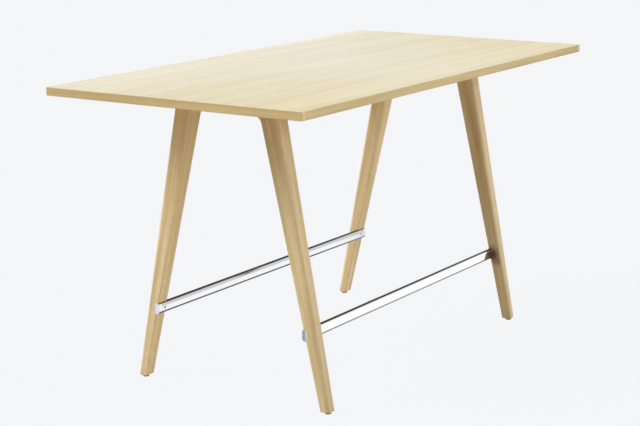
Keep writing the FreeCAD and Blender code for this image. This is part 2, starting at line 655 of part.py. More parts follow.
build_top()
for end_name in ENDS:
    build_crossbar(end_name)
for end_name, side_name in CORNERS:
    build_leg(end_name, side_name)
    build_beam_plug(end_name, side_name)
    build_rail_cap(end_name, side_name)
    build_glide(end_name, side_name)
for side_name in SIDES:
    build_beam(side_name)
    build_rail(side_name)
build_dowels()
build_beam_bolts()
build_top_screws()
build_rail_screws()
doc.recompute()

for thing in doc.Objects:
    if "Invalid" in thing.State or "Error" in thing.State:
        raise RuntimeError(f"{thing.Label} failed: {thing.State}")
    if thing.TypeId == "PartDesign::Pocket" and thing.Shape.Volume > thing.BaseFeature.Shape.Volume - 0.1:
        raise RuntimeError(f"{thing.Label} cuts nothing")
for part in parts:
    if part.Shape.isNull() or not part.Shape.isValid():
        raise RuntimeError(f"{part.Label} has no valid shape")

os.makedirs("parts", exist_ok=True)
for part in parts:
    part.Shape.exportStep(f"parts/{part.Label}.step")
print(f"{len(parts)} parts")
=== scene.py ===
# %% [markdown]
# # A standing meeting table
#
# A high table to stand and talk at: a long oak-veneered top on two A-shaped oak trestles, with two
# bright oval foot rails let into the legs and a levelling glide under each foot. Its solids come
# ready made, at their real size, so this lesson is about how each piece is finished: oak that has
# grain in the right direction on every face, chrome, powder coat, zinc and nylon. It then adds the
# few small shapes that repeat, and a plain studio to look at it all in.

# %% Load the solids
import json
import math

import bpy
from mathutils import Matrix, Vector


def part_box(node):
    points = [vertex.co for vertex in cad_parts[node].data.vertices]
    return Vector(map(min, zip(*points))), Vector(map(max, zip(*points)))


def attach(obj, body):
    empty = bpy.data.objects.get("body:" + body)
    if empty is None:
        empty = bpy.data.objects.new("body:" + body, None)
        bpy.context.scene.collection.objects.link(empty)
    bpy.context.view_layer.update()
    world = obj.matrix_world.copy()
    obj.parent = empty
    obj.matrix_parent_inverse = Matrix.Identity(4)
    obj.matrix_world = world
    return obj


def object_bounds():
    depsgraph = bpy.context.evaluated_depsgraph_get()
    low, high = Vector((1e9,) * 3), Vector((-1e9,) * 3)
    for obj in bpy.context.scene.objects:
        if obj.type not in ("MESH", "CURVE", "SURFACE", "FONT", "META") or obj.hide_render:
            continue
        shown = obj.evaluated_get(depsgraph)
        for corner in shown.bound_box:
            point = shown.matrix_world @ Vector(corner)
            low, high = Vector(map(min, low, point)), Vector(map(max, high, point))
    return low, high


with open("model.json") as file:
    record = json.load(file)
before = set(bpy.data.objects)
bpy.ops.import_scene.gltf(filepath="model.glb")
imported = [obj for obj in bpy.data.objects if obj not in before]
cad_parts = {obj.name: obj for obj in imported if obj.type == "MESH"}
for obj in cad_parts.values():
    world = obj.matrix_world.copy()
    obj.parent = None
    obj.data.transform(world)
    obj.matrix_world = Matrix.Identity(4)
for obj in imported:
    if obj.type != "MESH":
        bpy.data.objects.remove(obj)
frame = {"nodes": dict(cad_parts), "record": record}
nodes = frame["nodes"]
cad_low, cad_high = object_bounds()

# %% [markdown]
# ## Short names for shader nodes
#
# A material in Blender is a small network of nodes. Building one in code means many lines that
# make a node, set it and link it, so this class gives those steps short names. A value that is a
# socket is linked, and anything else is set as the socket's own number or colour.

# %% A small vocabulary for node trees
# a Mix node has sockets for every kind of value side by side, so they go by number
COLOUR_MIX_INPUTS, COLOUR_MIX_RESULT = (0, 6, 7), 2
NUMBER_MIX_INPUTS, NUMBER_MIX_RESULT = (0, 2, 3), 0


class Wiring:
    """The nodes of one tree, made and linked by short calls."""

    def __init__(self, tree):
        self.tree = tree

    def feed(self, socket, value):
        if isinstance(value, bpy.types.NodeSocket):
            self.tree.links.new(value, socket)
        else:
            socket.default_value = value

    def feed_all(self, sockets, values):
        for socket, value in zip(sockets, values):
            self.feed(socket, value)

    def node(self, kind, inputs=(), **settings):
        made = self.tree.nodes.new(kind)
        for name, value in settings.items():
            setattr(made, name, value)
        for name, value in dict(inputs).items():
            self.feed(made.inputs[name], value)
        return made

    def math(self, operation, *values, clamp=False):
        made = self.node("ShaderNodeMath", operation=operation, use_clamp=clamp)
        self.feed_all(made.inputs, values)
        return made.outputs[0]

    def plus(self, first, second, clamp=False):
        return self.math("ADD", first, second, clamp=clamp)

    def minus(self, first, second, clamp=False):
        return self.math("SUBTRACT", first, second, clamp=clamp)

    def times(self, first, second, clamp=False):
        return self.math("MULTIPLY", first, second, clamp=clamp)

    def size(self, value):
        """The value without its sign."""
        return self.math("ABSOLUTE", value)

    def vector_math(self, operation, *values):
        made = self.node("ShaderNodeVectorMath", operation=operation)
        self.feed_all(made.inputs, values)
        return made.outputs["Value" if operation == "LENGTH" else "Vector"]

    def scaled(self, vector, x, y, z):
        return self.vector_math("MULTIPLY", vector, (x, y, z))

    def split(self, vector):
        return self.node("ShaderNodeSeparateXYZ", {"Vector": vector}).outputs[:]

    def join(self, x, y, z):
        return self.node("ShaderNodeCombineXYZ", {"X": x, "Y": y, "Z": z}).outputs[0]

    def mix(self, factor, first, second, blend="MIX"):
        """A colour between two colours, or the first multiplied by the second."""
        made = self.node("ShaderNodeMix", data_type="RGBA", blend_type=blend)
        sockets = [made.inputs[number] for number in COLOUR_MIX_INPUTS]
        self.feed_all(sockets, (factor, first, second))
        return made.outputs[COLOUR_MIX_RESULT]

    def blend(self, factor, first, second):
        """A number between two numbers."""
        made = self.node("ShaderNodeMix", data_type="FLOAT")
        sockets = [made.inputs[number] for number in NUMBER_MIX_INPUTS]
        self.feed_all(sockets, (factor, first, second))
        return made.outputs[NUMBER_MIX_RESULT]

    def step(self, value, none, full, smooth=True):
        """0 at none and beyond, 1 at full and beyond, eased between unless smooth is off."""
        made = self.node("ShaderNodeMapRange",
                         {"Value": value, "From Min": none, "From Max": full},
                         interpolation_type="SMOOTHSTEP" if smooth else "LINEAR")
        return made.outputs["Result"]

    def noise(self, vector, scale, detail=3.0, roughness=0.5, distortion=0.0):
        made = self.node("ShaderNodeTexNoise",
                         {"Vector": vector, "Scale": scale, "Detail": detail,
                          "Roughness": roughness, "Distortion": distortion})
        return made.outputs[0]

    def facing(self):
        """The way the face looks, as its x, y and z."""
        return self.split(self.node("ShaderNodeNewGeometry").outputs["Normal"])


print("node vocabulary ready")

# %% [markdown]
# ## Groups and materials from the same vocabulary
#
# An effect that several finishes share is a node group: a box of nodes with named sockets that is
# built once and then placed in each material with its own values. The shader itself always stays
# in the material, and whatever is the same all over a piece is set on the shader's own sockets.

# %% Making and placing groups and materials
def new_group(name, inputs, outputs):
    """An empty shader group with named sockets, its wiring, its inputs and its output node."""
    group = bpy.data.node_groups.new(name, "ShaderNodeTree")
    for direction, sockets in (("INPUT", inputs), ("OUTPUT", outputs)):
        for label, kind, start in sockets:
            socket = group.interface.new_socket(label, in_out=direction,
                                                socket_type=f"NodeSocket{kind}")
            if start is not None:
                socket.default_value = start
    w = Wiring(group)
    return group, w, w.node("NodeGroupInput").outputs, w.node("NodeGroupOutput").inputs


def use_group(w, group, **inputs):
    made = w.node("ShaderNodeGroup", node_tree=group)
    for label, value in inputs.items():
        w.feed(made.inputs[label.replace("_", " ")], value)
    return made.outputs


def new_material(name, roughness=0.5, metallic=0.0, **constants):
    """A material, its wiring, its Principled shader and the Object coordinates."""
    material = bpy.data.materials.new(name)
    material.use_nodes = True
    w = Wiring(material.node_tree)
    shader = material.node_tree.nodes["Principled BSDF"]
    shader.inputs["Roughness"].default_value = roughness
    shader.inputs["Metallic"].default_value = metallic
    for label, value in constants.items():
        shader.inputs[label.replace("_", " ")].default_value = value
    return material, w, shader, w.node("ShaderNodeTexCoord").outputs["Object"]


def raise_bumps(w, shader, height, distance, strength=1.0):
    bump = w.node("ShaderNodeBump",
                  {"Height": height, "Distance": distance, "Strength": strength})
    w.feed(shader.inputs["Normal"], bump.outputs[0])


def colour(red, green, blue):
    """A colour as eyes read it, 0 to 255, turned into the linear one that shaders use."""
    return tuple((part / 255 / 12.92) if part < 11 else ((part / 255 + 0.055) / 1.055) ** 2.4
                 for part in (red, green, blue)) + (1.0,)


print("groups and materials ready")

# %% [markdown]
# ## Oak, as one group for every board
#
# Oak is ring porous: each year's ring starts with a line of open pores, which a cut along the
# trunk shows as short dark dashes in bands, and fibres fill the space between. Slower changes of
# growth give broad pale and brown streaks. One group makes all of it from a coordinate whose X
# runs along the grain, so every board only has to turn that coordinate its own way. Noise that is
# squeezed across the grain and stretched along it gives the streaks, the fibres and the pores.

# %% The oak group
GRAIN_NOISES = {  # how fast it changes along, across and through; detail, roughness, distortion
    "broad": ((0.8, 13, 13), 3, 0.55, 0.3),
    "medium": ((2.4, 62, 62), 3, 0.6, 0.0),
    "fibre": ((16, 620, 620), 2, 0.6, 0.0),
    "dashes": ((34, 1500, 1500), 1, 0.5, 0.0),
    "sway": ((0.9, 5, 5), 2, 0.5, 0.0),
}
SEED_ACROSS, SEED_THROUGH = 1.7, 0.6  # a board's random shift, beside 1 along the grain
BROAD_BROWN, MEDIUM_BROWN, OPEN_PORE = (0.32, 0.68), (0.3, 0.7), (0.56, 0.66)  # from none to full
RING_SLANT = 0.8       # how much the rings lean through the board
RING_SWAY = 0.05       # how far they wander, in metres
RING_SHARPNESS = 2.2   # how narrow the dark late wood is in each ring
BROWN_SHARES = {"medium": 0.6, "late": 0.35, "fibre": 0.3}  # beside 1 for the broad streaks
BROWN_GAIN = 0.6
LACQUER_ROUGHNESS, FIBRE_ROUGHNESS, PORE_ROUGHNESS = 0.36, 0.10, 0.2
FIBRE_HEIGHT = 0.3     # beside a depth of 1 for the pores


def grain_noise(w, grain, name):
    stretch, detail, roughness, distortion = GRAIN_NOISES[name]
    return w.noise(w.scaled(grain, *stretch), 1.0, detail, roughness, distortion)


def make_oak():
    group, w, given, out = new_group(
        "Oak Along X",
        [("Vector", "Vector", None), ("Pale", "Color", (0.7, 0.55, 0.35, 1)),
         ("Brown", "Color", (0.5, 0.35, 0.2, 1)), ("Pore", "Color", (0.3, 0.2, 0.1, 1)),
         ("Ring Spacing", "Float", 0.003), ("Streak", "Float", 0.5),
         ("Pore Amount", "Float", 0.4), ("Seed", "Float", 0.0)],
        [("Color", "Color", None), ("Roughness", "Float", None), ("Height", "Float", None)])
    seed = given["Seed"]
    grain = w.vector_math("ADD", given["Vector"],
                          w.join(seed, w.times(seed, SEED_ACROSS), w.times(seed, SEED_THROUGH)))
    broad, medium, fibre, dashes, sway = (grain_noise(w, grain, name) for name in GRAIN_NOISES)

    _, across, through = w.split(grain)
    ring_place = w.plus(w.plus(across, w.times(through, RING_SLANT)), w.times(sway, RING_SWAY))
    turn = w.times(w.math("DIVIDE", ring_place, given["Ring Spacing"]), math.tau)
    ring = w.math("MULTIPLY_ADD", w.math("SINE", turn), 0.5, 0.5)
    late = w.math("POWER", ring, RING_SHARPNESS)

    brown = w.plus(w.step(broad, *BROAD_BROWN),
                   w.times(w.step(medium, *MEDIUM_BROWN), BROWN_SHARES["medium"]))
    brown = w.plus(brown, w.times(late, BROWN_SHARES["late"]))
    brown = w.plus(brown, w.times(fibre, BROWN_SHARES["fibre"]))
    brown = w.times(brown, w.times(given["Streak"], BROWN_GAIN), clamp=True)
    pores = w.times(w.step(dashes, *OPEN_PORE), w.minus(1.0, late))

    wood = w.mix(brown, given["Pale"], given["Brown"])
    wood = w.mix(w.times(pores, given["Pore Amount"], clamp=True), wood, given["Pore"])
    smooth = w.math("MULTIPLY_ADD", fibre, FIBRE_ROUGHNESS, LACQUER_ROUGHNESS)
    w.feed(out["Color"], wood)
    w.feed(out["Roughness"], w.plus(smooth, w.times(pores, PORE_ROUGHNESS)))
    w.feed(out["Height"], w.minus(w.times(fibre, FIBRE_HEIGHT), pores))
    return group


OAK = make_oak()
PORE_DEPTH = 0.00004
print(f"{OAK.name}: {len(OAK.nodes)} nodes")

# %% [markdown]
# ## Leaves of veneer
#
# The top is far wider than a tree's sliced face, so its veneer is several leaves laid side by
# side. Each leaf is from another slice, so its tone and figure differ a little from the next, with
# a straight joint between them that is only just visible. This group cuts the width into leaves
# and gives each its own shift of the grain and its own shade, from one random number a leaf.

# %% The leaf group
FIRST_LEAF = 40.37  # keeps the count of leaves above 0 and the joints off the middle of the top
LEAF_SHIFT_ALONG, LEAF_SHIFT_ACROSS = 9.0, 3.0
JOINT_FULL, JOINT_GONE = 0.0001, 0.0005  # distances from the joint


def make_leaves():
    group, w, given, out = new_group(
        "Veneer Leaves",
        [("Vector", "Vector", None), ("Leaf Width", "Float", 0.14),
         ("Difference", "Float", 0.05)],
        [("Vector", "Vector", None), ("Shade", "Float", None), ("Joint", "Float", None)])
    along, across, through = w.split(given["Vector"])
    count = w.plus(w.math("DIVIDE", across, given["Leaf Width"]), FIRST_LEAF)
    leaf = w.math("FLOOR", count)
    chance = w.node("ShaderNodeTexWhiteNoise", {"W": leaf}, noise_dimensions="1D").outputs[0]
    moved = w.join(w.math("MULTIPLY_ADD", chance, LEAF_SHIFT_ALONG, along),
                   w.math("MULTIPLY_ADD", chance, LEAF_SHIFT_ACROSS, across), through)
    part = w.math("FRACT", count)
    from_joint = w.times(w.math("MINIMUM", part, w.minus(1.0, part)), given["Leaf Width"])
    w.feed(out["Vector"], moved)
    w.feed(out["Shade"], w.times(w.minus(chance, 0.5), given["Difference"]))
    w.feed(out["Joint"], w.minus(1.0, w.step(from_joint, JOINT_FULL, JOINT_GONE)))
    return group


LEAVES = make_leaves()
print(f"{LEAVES.name}: {len(LEAVES.nodes)} nodes")

# %% [markdown]
# ## Grime and handling
#
# Nothing in use stays evenly clean. Hands polish the edges of a top and darken them a little, and
# shoes leave dust and scuffs low on the legs. This group makes three masks: dust that fades with
# height above the floor, rubbing along the two arrises of the top, and slow smudges. Noise breaks
# them up. Below the top the rubbing no longer fades, so the legs are rubbed in patches all over.

# %% The wear group
TOP_UNDERSIDE, TOP_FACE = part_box("underside_veneer")[0][2], cad_high[2]
PATCH_SCALE, SMUDGE_SCALE = 38.0, 9.0
DUST_PATCHES, RUBBED_PATCHES = (0.35, 0.75), (0.2, 0.6)


def make_wear():
    group, w, given, out = new_group(
        "Use And Dust",
        [("Vector", "Vector", None), ("Dust Height", "Float", 0.12),
         ("Band Low", "Float", TOP_UNDERSIDE), ("Band High", "Float", TOP_FACE),
         ("Band Width", "Float", 0.003)],
        [("Dust", "Float", None), ("Rubbed", "Float", None), ("Smudge", "Float", None)])
    height = w.split(given["Vector"])[2]
    patches = w.noise(given["Vector"], PATCH_SCALE, detail=4, roughness=0.6)
    low_down = w.minus(1.0, w.step(height, 0.0, given["Dust Height"]))
    nearest_edge = w.math("MINIMUM", w.minus(height, given["Band Low"]),
                          w.minus(given["Band High"], height))
    rubbed = w.minus(1.0, w.step(nearest_edge, 0.0, given["Band Width"]))
    w.feed(out["Dust"], w.times(low_down, w.step(patches, *DUST_PATCHES), clamp=True))
    w.feed(out["Rubbed"], w.times(rubbed, w.step(patches, *RUBBED_PATCHES), clamp=True))
    w.feed(out["Smudge"], w.noise(given["Vector"], SMUDGE_SCALE, detail=5, roughness=0.55))
    return group


WEAR = make_wear()
print(f"{WEAR.name}: {len(WEAR.nodes)} nodes")

# %% [markdown]
# ## The top's veneers
#
# The upper veneer is the palest wood on the table: straight-grained oak under a matt lacquer that
# keeps it nearly as light as bare wood. One more mask paints light onto it: the middle of the back
# is left pale as a painted pool of light, and towards the front edge and the two ends a darker
# yellow is multiplied in as painted shade.
# The balancing veneer underneath is the same wood of a plainer cut. Both run the length of the
# table, so the grain's X is the table's X.

# %% Veneer materials
RANDOM_SEEDS = {"top_veneer": 3.1, "underside_veneer": 17.7, "edge_lipping_long": 41.3,
                "edge_lipping_end": 63.9, "leg": 8.2, "crossbar": 120.4, "knuckle_dowels": 143.0}
WOOD_SHINE = 0.2
VENEER_RINGS, VENEER_PORES = 0.0031, 0.35
JOINT_BROWN = 0.35
SMUDGE_ROUGHNESS, RUBBED_DOWN = 0.08, 0.04
# Painted light: the top is multiplied darker and yellower away from a pale pool at the back's
# middle.
AWAY_FROM_POOL_TINT = (0.92, 0.865, 0.66, 1.0)
POOL_FADE_TO_ENDS, POOL_FADE_TOWARDS_BACK = 0.6, -0.75


def painted_light_pool(w, place, wood):
    x, y, _ = w.split(place)
    amount = w.plus(w.times(w.size(x), POOL_FADE_TO_ENDS), w.times(y, POOL_FADE_TOWARDS_BACK), clamp=True)
    return w.mix(amount, wood, AWAY_FROM_POOL_TINT, blend="MULTIPLY")


def veneer(slot, pale, brown, pore, leaf_width, difference, streak, painted_light_and_shade=None):
    material, w, shader, place = new_material(f"{slot}_oak", Specular_IOR_Level=WOOD_SHINE)
    leaves = use_group(w, LEAVES, Vector=place, Leaf_Width=leaf_width, Difference=difference)
    oak = use_group(w, OAK, Vector=leaves["Vector"], Pale=pale, Brown=brown, Pore=pore,
                    Ring_Spacing=VENEER_RINGS, Streak=streak, Pore_Amount=VENEER_PORES,
                    Seed=RANDOM_SEEDS[slot])
    wear = use_group(w, WEAR, Vector=place)
    shaded = w.node("ShaderNodeHueSaturation",
                    {"Value": w.plus(1.0, leaves["Shade"]), "Color": oak["Color"]}).outputs[0]
    wood = w.mix(w.times(leaves["Joint"], JOINT_BROWN), shaded, brown)
    # Any painted light and shade is multiplied into the wood's colour here.
    w.feed(shader.inputs["Base Color"], painted_light_and_shade(w, place, wood) if painted_light_and_shade else wood)
    w.feed(shader.inputs["Roughness"],
           w.math("MULTIPLY_ADD", wear["Smudge"], SMUDGE_ROUGHNESS,
                  w.minus(oak["Roughness"], RUBBED_DOWN)))
    raise_bumps(w, shader, oak["Height"], PORE_DEPTH)
    return material


MATERIALS = {
    "top_veneer": veneer(
        "top_veneer", colour(224, 218, 200), colour(207, 197, 170), colour(164, 142, 104),
        leaf_width=0.137, difference=0.05, streak=0.75, painted_light_and_shade=painted_light_pool),
    "underside_veneer": veneer(
        "underside_veneer", colour(196, 164, 112), colour(170, 136, 86), colour(124, 94, 56),
        leaf_width=0.19, difference=0.08, streak=0.9),
}
print(f"veneers: {', '.join(MATERIALS)}")

# %% [markdown]
# ## Which way the grain runs in a solid board
#
# The lippings, legs and crossbars are solid, so their grain must turn with the board. A Mapping
# node turns it for the straight ones. A leg leans and there are four, so its coordinate is folded
# to one corner with absolute values, tipped by the leg's lean, and moved along by its corner so
# that no two legs match. The end lippings show end grain where they meet the long sides, and the
# face's own direction tells the shader where that is.

# %% Grain in a board
QUARTER_TURN = math.pi / 2
BOARD_TURNS = {
    "edge_lipping_long": (QUARTER_TURN, 0, 0), "edge_lipping_end": (0, 0, -QUARTER_TURN),
    "crossbar": (0, 0, -QUARTER_TURN), "knuckle_dowels": (0, 0, -QUARTER_TURN)}

leg_low, leg_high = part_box("leg_right_rear")
glide_low, glide_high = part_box("glide_cap_right_rear")
GLIDE_X, GLIDE_Y = (round((glide_low[axis] + glide_high[axis]) / 2, 4) for axis in (0, 1))
LEG_HEAD_Y = 0.16175  # the middle of a leg's head
LEG_LEAN = math.atan2(GLIDE_Y - LEG_HEAD_Y, leg_high[2] - leg_low[2])
CORNER_SHIFT_X, CORNER_SHIFT_Y = 2.3, 5.1

HEART_TO_ORIGIN = (0.9, 0.0, -1.15)  # the tree's heart would be just above the top's left end
END_RING_SCALE, END_PORE_SCALE = 90.0, 2300.0  # rings 3.5 mm apart, pores finer than 0.5 mm
END_RING_SHARE, END_PORE_SHARE, END_PORE_EDGE = 0.55, 0.5, (0.55, 0.7)
FACES_ALONG_Y = (0.6, 0.8)


def board_grain(w, place, slot):
    return w.node("ShaderNodeMapping",
                  {"Vector": place, "Rotation": BOARD_TURNS[slot]}).outputs[0]


def leg_grain(w, place):
    """Along the leg, across it and through it, with the four corners folded into one."""
    x, y, z = w.split(place)
    out_x, out_y = w.size(x), w.size(y)
    sine, cosine = math.sin(LEG_LEAN), math.cos(LEG_LEAN)
    along = w.minus(w.times(out_y, sine), w.times(z, cosine))
    through = w.plus(w.times(out_y, cosine), w.times(z, sine))
    corner = w.plus(w.times(w.math("SIGN", x), CORNER_SHIFT_X),
                    w.times(w.math("SIGN", y), CORNER_SHIFT_Y))
    return w.join(w.plus(along, corner), w.plus(out_x, corner), through)


def end_grain(w, place, wood, pale, brown):
    """Rings and pores cut across, shown only on faces that look along Y."""
    from_heart = w.scaled(w.vector_math("ADD", place, HEART_TO_ORIGIN), 1.0, 0.0, 1.0)
    rings = w.node("ShaderNodeTexWave",
                   {"Vector": from_heart, "Scale": END_RING_SCALE, "Distortion": 3.0,
                    "Detail": 2.0},
                   wave_type="RINGS", rings_direction="SPHERICAL").outputs[0]
    dots = w.noise(w.scaled(place, 1.0, 0.0, 1.0), END_PORE_SCALE, detail=1)
    cut = w.mix(w.times(rings, END_RING_SHARE), pale, brown)
    cut = w.mix(w.times(w.step(dots, *END_PORE_EDGE), END_PORE_SHARE), cut, brown)
    return w.mix(w.step(w.size(w.facing()[1]), *FACES_ALONG_Y), wood, cut)


print(f"legs lean {math.degrees(LEG_LEAN):.1f} degrees")

# %% [markdown]
# ## Painted light and shade on the solid oak
#
# Three masks paint light and shade into the oak's colour. Painted shade makes the long lippings
# darker over the rest than at their left end, painted light makes the rear legs paler towards the
# head, and the front rail's painted shadow darkens the front legs where it enters them, on the
# face that looks to the table's middle. Each mask reads the place on the piece, so it stays put
# from every side.

# %% Painted light and shade that change over a piece
# Painted shade: the long lippings are multiplied darker from near the middle to the right end.
LIPPING_PALE_AT, LIPPING_DARK_FROM = -1.0, -0.1
LIPPING_PAINTED_SHADE = (0.88, 0.85, 0.79, 1.0)
# Painted light: the rear legs are multiplied paler towards the head, as if lit more there.
REAR_HEAD_PAINTED_LIGHT = (1.22, 1.22, 1.22, 1.0)
PAINTED_LIGHT_FROM, PAINTED_LIGHT_FULL = 0.3, 1.0
REAR_FROM, REAR_FULL = -0.1, 0.1
# Painted shadow: the front rail's shadow, darkest where the rail enters a front leg.
RAIL_SHADOW_DARK = colour(72, 50, 36)
RAIL_SHADOW_PATCHES = (  # a place on a right leg, how far the shade reaches from it and how deep it is
    ((0.6435, -0.315, 0.262), 0.045, 0.92),
    ((0.6455, -0.338, 0.238), 0.034, 0.4))
RAIL_SHADOW_CORE = 0.004
FACES_INWARD = (0.4, 0.8)


def painted_lipping_shade(w, place, wood):
    along = w.step(w.split(place)[0], LIPPING_PALE_AT, LIPPING_DARK_FROM)
    return w.mix(along, wood, LIPPING_PAINTED_SHADE, blend="MULTIPLY")


def painted_rail_shadow(w, place):
    """Near 1 in the painted shadow where the front rail enters a leg, on the leg's inward face."""
    x, y, z = w.split(place)
    folded = w.join(w.size(x), y, z)
    shade = 0.0
    for centre, reach, depth in RAIL_SHADOW_PATCHES:
        distance = w.vector_math("LENGTH", w.vector_math("SUBTRACT", folded, centre))
        near = w.step(distance, reach, RAIL_SHADOW_CORE)
        shade = w.math("MAXIMUM", shade, w.times(near, depth))
    inward = w.times(w.facing()[0], w.times(w.math("SIGN", x), -1.0))
    return w.times(shade, w.step(inward, *FACES_INWARD))


# Painted light at the rear legs' heads, then the front rail's painted shadow on the front legs.
def painted_leg_light_and_shade(w, place, wood):
    _, y, z = w.split(place)
    rear_head_light = w.times(w.step(z, PAINTED_LIGHT_FROM, PAINTED_LIGHT_FULL, smooth=False),
                        w.step(y, REAR_FROM, REAR_FULL))
    wood = w.mix(rear_head_light, wood, REAR_HEAD_PAINTED_LIGHT, blend="MULTIPLY")
    return w.mix(painted_rail_shadow(w, place), wood, RAIL_SHADOW_DARK)


print(f"{len(RAIL_SHADOW_PATCHES)} shades at each seat of the front rail")

# %% [markdown]
# ## The solid boards
#
# Every solid board is the oak group on its own grain, a little browner in rubbed patches and dusty
# near the floor. The crossbars and dowels sit out of sight under the top, so they get no painted
# light or shade.

# %% Solid oak materials
OAK_PORE = colour(134, 110, 72)
BOARD_RINGS, LIPPING_RINGS, BOARD_PORES = 0.0026, 0.0034, 0.3
RUBBED_BROWN, DUST_COVER, DUST_ROUGHNESS = 0.25, 0.35, 0.25
DUST = colour(176, 164, 145)


def solid_oak(slot, pale, brown, streak, rings=BOARD_RINGS, end_colours=None, painted_light_and_shade=None):
    material, w, shader, place = new_material(f"{slot}_oak", Specular_IOR_Level=WOOD_SHINE)
    grain = leg_grain(w, place) if slot == "leg" else board_grain(w, place, slot)
    oak = use_group(w, OAK, Vector=grain, Pale=pale, Brown=brown, Pore=OAK_PORE,
                    Ring_Spacing=rings, Streak=streak, Pore_Amount=BOARD_PORES,
                    Seed=RANDOM_SEEDS[slot])
    wear = use_group(w, WEAR, Vector=place)
    wood = end_grain(w, place, oak["Color"], *end_colours) if end_colours else oak["Color"]
    wood = w.mix(w.times(wear["Rubbed"], RUBBED_BROWN), wood, brown)
    wood = w.mix(w.times(wear["Dust"], DUST_COVER), wood, DUST)
    # Any painted light and shade is multiplied or mixed into the wood's colour here.
    w.feed(shader.inputs["Base Color"], painted_light_and_shade(w, place, wood) if painted_light_and_shade else wood)
    w.feed(shader.inputs["Roughness"],
           w.math("MULTIPLY_ADD", wear["Dust"], DUST_ROUGHNESS, oak["Roughness"]))
    raise_bumps(w, shader, oak["Height"], PORE_DEPTH)
    return material


MATERIALS["edge_lipping_long"] = solid_oak(
    "edge_lipping_long", colour(210, 195, 152), colour(170, 153, 109),
    streak=0.85, rings=LIPPING_RINGS, painted_light_and_shade=painted_lipping_shade)
MATERIALS["edge_lipping_end"] = solid_oak(
    "edge_lipping_end", colour(196, 178, 136), colour(166, 147, 104),
    streak=0.85, rings=LIPPING_RINGS,
    end_colours=(colour(206, 188, 145), colour(172, 148, 104)))
MATERIALS["leg"] = solid_oak(
    "leg", colour(218, 202, 164), colour(172, 153, 114), streak=0.95, painted_light_and_shade=painted_leg_light_and_shade)
MATERIALS["crossbar"] = solid_oak(
    "crossbar", colour(206, 180, 132), colour(176, 148, 100), streak=0.9)
MATERIALS["knuckle_dowels"] = solid_oak(
    "knuckle_dowels", colour(220, 190, 150), colour(196, 160, 118), streak=0.6)
print(f"{len(MATERIALS)} woods")

# %% [markdown]
# ## The core
#
# Between the veneers is particle board. It only shows inside the insert holes, as pressed chips in
# many browns. Voronoi cells, flattened by the press, are a simple and convincing chip pattern.

# %% Core material
CHIPS_IN_A_METRE, CHIP_FLATTENING = 420.0, 2.4
CHIP_DEPTH, CHIP_STRENGTH = 0.0004, 0.6


def make_core():
    material, w, shader, place = new_material("pressed_chips", roughness=0.85)
    cells = w.node("ShaderNodeTexVoronoi",
                   {"Vector": w.scaled(place, 1.0, 1.0, CHIP_FLATTENING),
                    "Scale": CHIPS_IN_A_METRE, "Randomness": 1.0}).outputs
    chance = w.split(cells["Color"])[0]
    w.feed(shader.inputs["Base Color"],
           w.mix(chance, colour(196, 168, 124), colour(132, 98, 60)))
    raise_bumps(w, shader, cells["Distance"], CHIP_DEPTH, CHIP_STRENGTH)
    return material


MATERIALS["tabletop_core"] = make_core()
print("core ready")

# %% [markdown]
# ## A group for handled metal
#
# Bright chrome is almost only its reflections, so its material does little: a nearly white metal,
# very smooth, with faint smears and hairline scratches along the tube that dull a highlight here
# and there. Zinc-plated fasteners are greyer and mottled. One group of three noises serves them
# all: it drives the roughness and the bump, and gives a mottle to mix two tints by.

# %% The handled metal group
ALONG_THE_TUBE = (1.0, 40.0, 40.0)
HAIRLINE_SCALE, SMEAR_SCALE, SPOT_SCALE = 60.0, 14.0, 260.0
SMEARED, SCRATCHED = (0.45, 0.8), (0.3, 0.75)


def make_handled_metal():
    group, w, given, out = new_group(
        "Handled Metal",
        [("Vector", "Vector", None), ("Stretch", "Vector", ALONG_THE_TUBE),
         ("Clean", "Float", 0.05), ("Dull", "Float", 0.2)],
        [("Roughness", "Float", None), ("Height", "Float", None), ("Mottle", "Float", None)])
    stretched = w.vector_math("MULTIPLY", given["Vector"], given["Stretch"])
    hairlines = w.noise(stretched, HAIRLINE_SCALE, detail=3, roughness=0.7)
    smears = w.noise(given["Vector"], SMEAR_SCALE, detail=4, roughness=0.6, distortion=0.6)
    spots = w.noise(given["Vector"], SPOT_SCALE, detail=3, roughness=0.6)
    amount = w.times(w.step(smears, *SMEARED), w.step(hairlines, *SCRATCHED))
    w.feed(out["Roughness"], w.blend(amount, given["Clean"], given["Dull"]))
    w.feed(out["Height"], hairlines)
    w.feed(out["Mottle"], spots)
    return group


METAL = make_handled_metal()
print(f"{METAL.name}: {len(METAL.nodes)} nodes")

# %% [markdown]
# ## A group for the studs' thread
#
# The glides' studs are threaded, which shows when a glide is let down. A thread of this pitch is
# too fine to be worth its faces, so it is bump: the height above the floor and the angle round
# the stud's axis together give a wave that climbs one pitch with each turn. The angle is measured
# round the nearest corner's axis, so one group serves all four studs.

# %% The thread group
GROOVE_BELOW = (0.35, 0.05)


def make_thread():
    """The turns of an upright screw, as a height that winds round an axis near the corner."""
    group, w, given, out = new_group(
        "Screw Thread",
        [("Vector", "Vector", None), ("Axis", "Vector", (0.0, 0.0, 0.0)),
         ("Pitch", "Float", 0.00125)],
        [("Height", "Float", None), ("Groove", "Float", None)])
    x, y, z = w.split(given["Vector"])
    axis_x, axis_y, _ = w.split(given["Axis"])
    from_x, from_y = w.minus(w.size(x), axis_x), w.minus(w.size(y), axis_y)
    handed = w.times(w.math("SIGN", x), w.math("SIGN", y))
    angle = w.times(w.math("ARCTAN2", from_y, from_x), handed)
    rise = w.times(w.math("DIVIDE", z, given["Pitch"]), math.tau)
    wave = w.math("MULTIPLY_ADD", w.math("SINE", w.minus(rise, angle)), 0.5, 0.5)
    w.feed(out["Height"], wave)
    w.feed(out["Groove"], w.step(wave, *GROOVE_BELOW))
    return group


THREAD = make_thread()
print(f"{THREAD.name}: {len(THREAD.nodes)} nodes")
